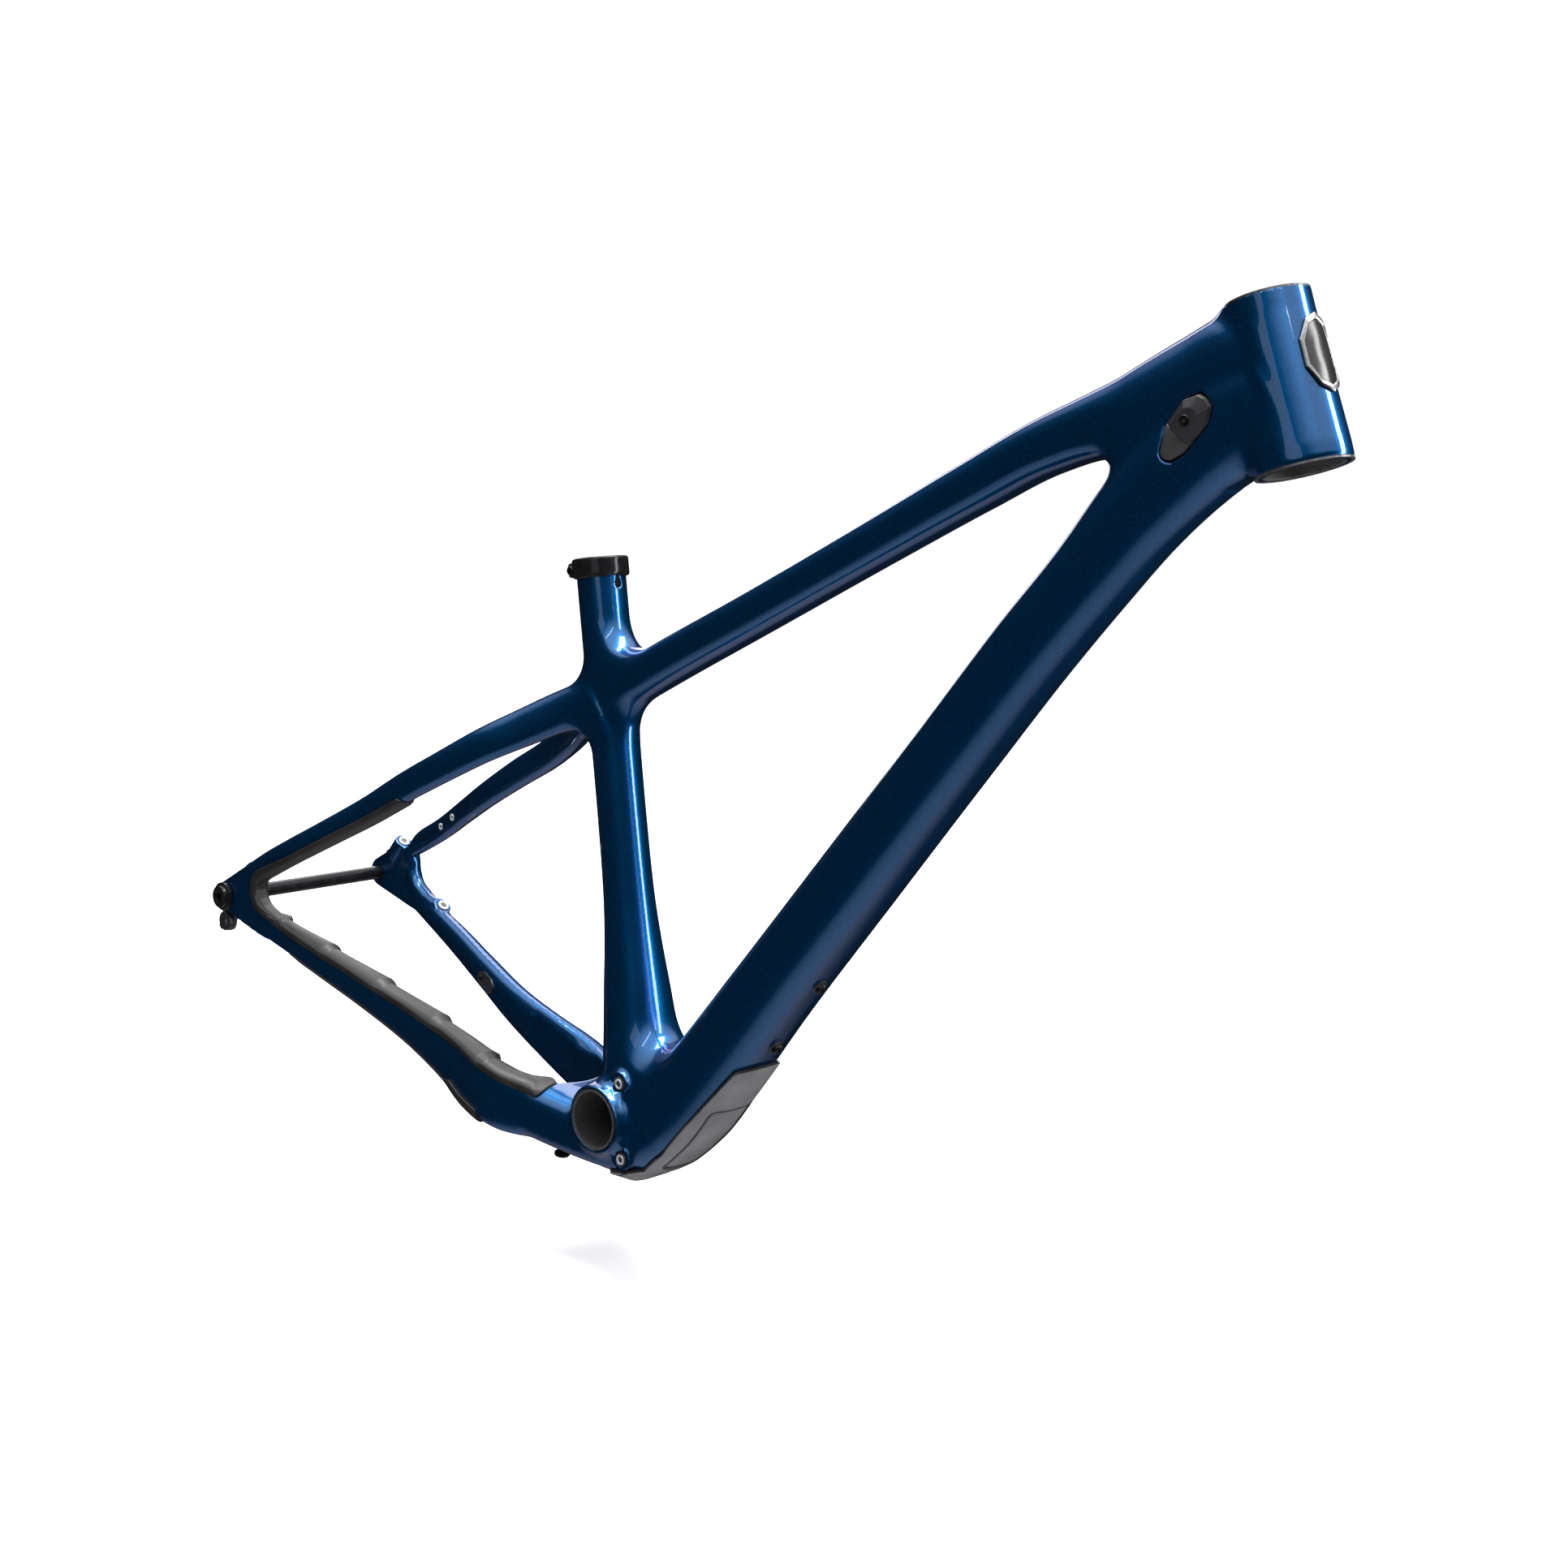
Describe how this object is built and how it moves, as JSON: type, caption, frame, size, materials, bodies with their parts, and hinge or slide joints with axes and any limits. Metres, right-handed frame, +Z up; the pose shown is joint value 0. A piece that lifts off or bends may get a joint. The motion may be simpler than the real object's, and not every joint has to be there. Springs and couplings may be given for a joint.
{
  "type": "bicycle frame",
  "caption": "Hardtail mountain-bike frame with tapered head tube, moulded stays, rubber guards, thru-axle, seat clamp and derailleur hanger.",
  "frame": {"origin": "centre of the bottom-bracket bore on the mid-plane", "axes": "+X forwards, towards the head tube; +Y to the rider's left, along the bottom-bracket axis; +Z up"},
  "size_m": [0.9473, 0.182, 0.6882],
  "materials": {
    "frame_paint": "gloss clear coat over metallic dark blue, carbon laminate underneath",
    "bare_carbon": "bare rough laminate with a sanded bore",
    "silver_insert": "satin machined aluminium",
    "guard_rubber": "matte moulded rubber",
    "guard_plastic": "satin moulded plastic",
    "port_rubber": "matte rubber",
    "port_plastic": "semi-gloss black plastic",
    "black_steel": "black oxide steel",
    "black_anodised": "black anodised aluminium",
    "hanger_alloy": "dark anodised aluminium"
  },
  "bodies": {
    "frame": {"bottom_bracket_shell": "frame_paint", "bottom_bracket_sleeve": "bare_carbon", "chainstay_guard": "guard_rubber", "chainstay_lower_guard": "guard_rubber", "chainstay_yoke": "frame_paint", "down_tube": "frame_paint", "downtube_guard": "guard_plastic", "drain_plug": "black_steel", "front_hose_insert": "silver_insert", "head_badge": "silver_insert", "head_tube": "frame_paint", "hose_port_cover": "port_plastic", "hose_port_screw": "black_steel", "left_cable_port_cover": "port_plastic", "left_cable_port_grommet": "port_rubber", "left_cable_port_screw": "black_steel", "left_chainstay": "frame_paint", "left_dropout": "frame_paint", "left_seatstay": "frame_paint", "lower_bottle_bolt_front": "black_steel", "lower_bottle_bolt_rear": "black_steel", "lower_brake_insert": "silver_insert", "lower_guide_insert": "silver_insert", "lower_headset_seat": "silver_insert", "rear_hose_insert": "silver_insert", "right_cable_port_cover": "port_plastic", "right_cable_port_grommet": "port_rubber", "right_cable_port_screw": "black_steel", "right_chainstay": "frame_paint", "right_dropout": "frame_paint", "right_seatstay": "frame_paint", "seat_tube": "frame_paint", "top_tube": "frame_paint", "upper_bottle_bolt_front": "black_steel", "upper_bottle_bolt_rear": "black_steel", "upper_brake_insert": "silver_insert", "upper_guide_insert": "silver_insert", "upper_headset_seat": "silver_insert"},
    "axle_washer": {"axle_washer": "black_steel"},
    "axle": {"thru_axle": "black_anodised"},
    "hanger": {"derailleur_hanger": "hanger_alloy", "hanger_bolt": "black_anodised"},
    "clamp": {"seat_clamp_collar": "black_anodised"},
    "clamp_bolt": {"seat_clamp_bolt": "black_steel"}
  },
  "joints": [
    {"name": "axle_withdraw", "type": "slide", "parent": "frame", "child": "axle_washer", "axis": [0, 1, 0], "range_m": [0, 0.172]},
    {"name": "axle_turn", "type": "hinge", "parent": "axle_washer", "child": "axle", "pos_m": [-0.4288, 0, 0.06], "axis": [0, 1, 0], "continuous": true},
    {"name": "hanger_breakaway", "type": "hinge", "parent": "frame", "child": "hanger", "pos_m": [-0.4288, 0, 0.06], "axis": [0, 1, 0], "range_deg": [0, 70]},
    {"name": "clamp_lift", "type": "slide", "parent": "frame", "child": "clamp", "axis": [-0.2511, 0, 0.968], "range_m": [0, 0.02]},
    {"name": "clamp_bolt_turn", "type": "hinge", "parent": "clamp", "child": "clamp_bolt", "pos_m": [-0.11511, 0, 0.38664], "axis": [0, 1, 0], "continuous": true}
  ]
}
